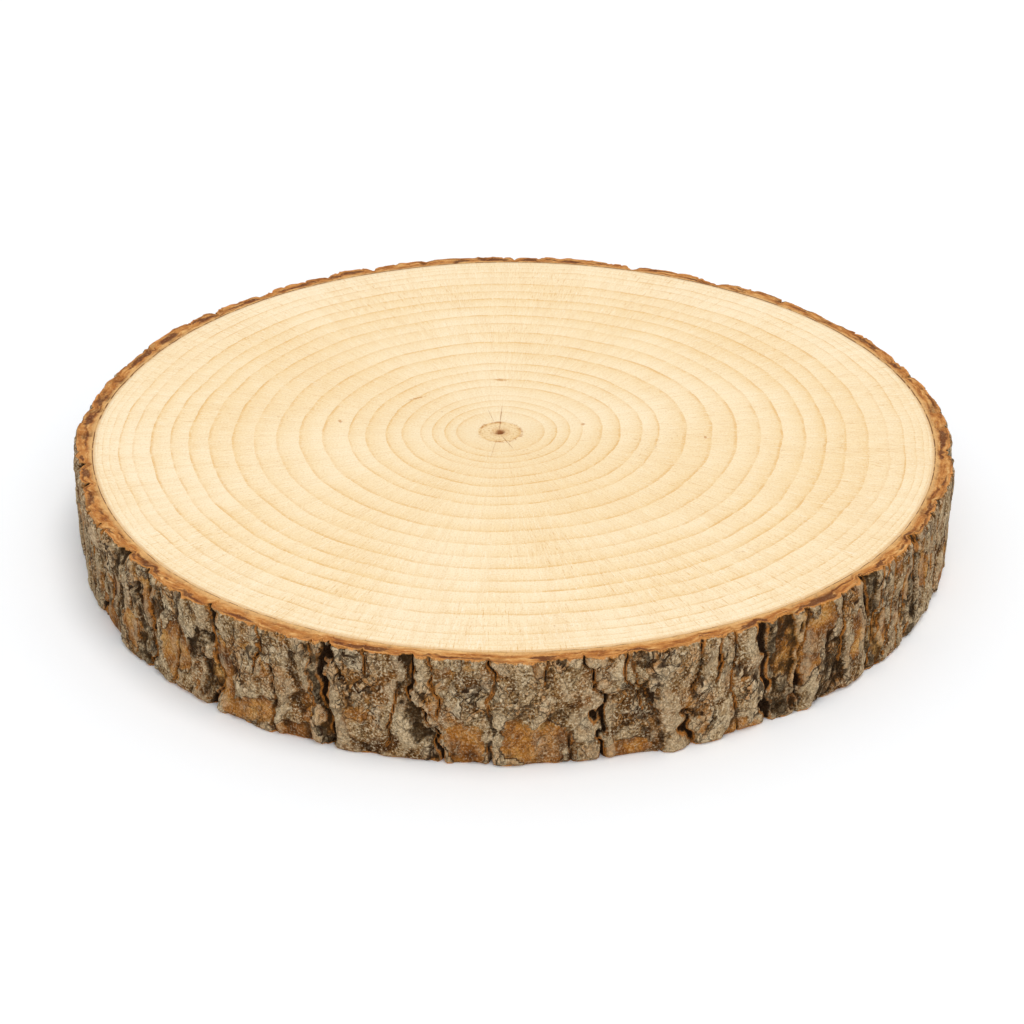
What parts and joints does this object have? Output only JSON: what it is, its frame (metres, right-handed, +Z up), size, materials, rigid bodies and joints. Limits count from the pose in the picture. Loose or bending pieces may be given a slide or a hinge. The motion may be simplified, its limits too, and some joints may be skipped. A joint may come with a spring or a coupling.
{
  "type": "wood slice",
  "caption": "Round slice cut across a tree trunk with its bark on: flat sawn faces, a rough fissured rim and a small pith hollow.",
  "frame": {"origin": "middle of the underside's box, on the surface that the slice lies on", "axes": "+Z up through the thickness, from the underside to the upper sawn face; -Y is the front, where the bark is seen; +X to the right from there"},
  "size_m": [0.306, 0.303, 0.037],
  "materials": {
    "wood": "sanded end grain on both faces, with grey-brown furrowed bark round the rim"
  },
  "bodies": {
    "root": {"wood_slice": "wood"}
  },
  "joints": []
}
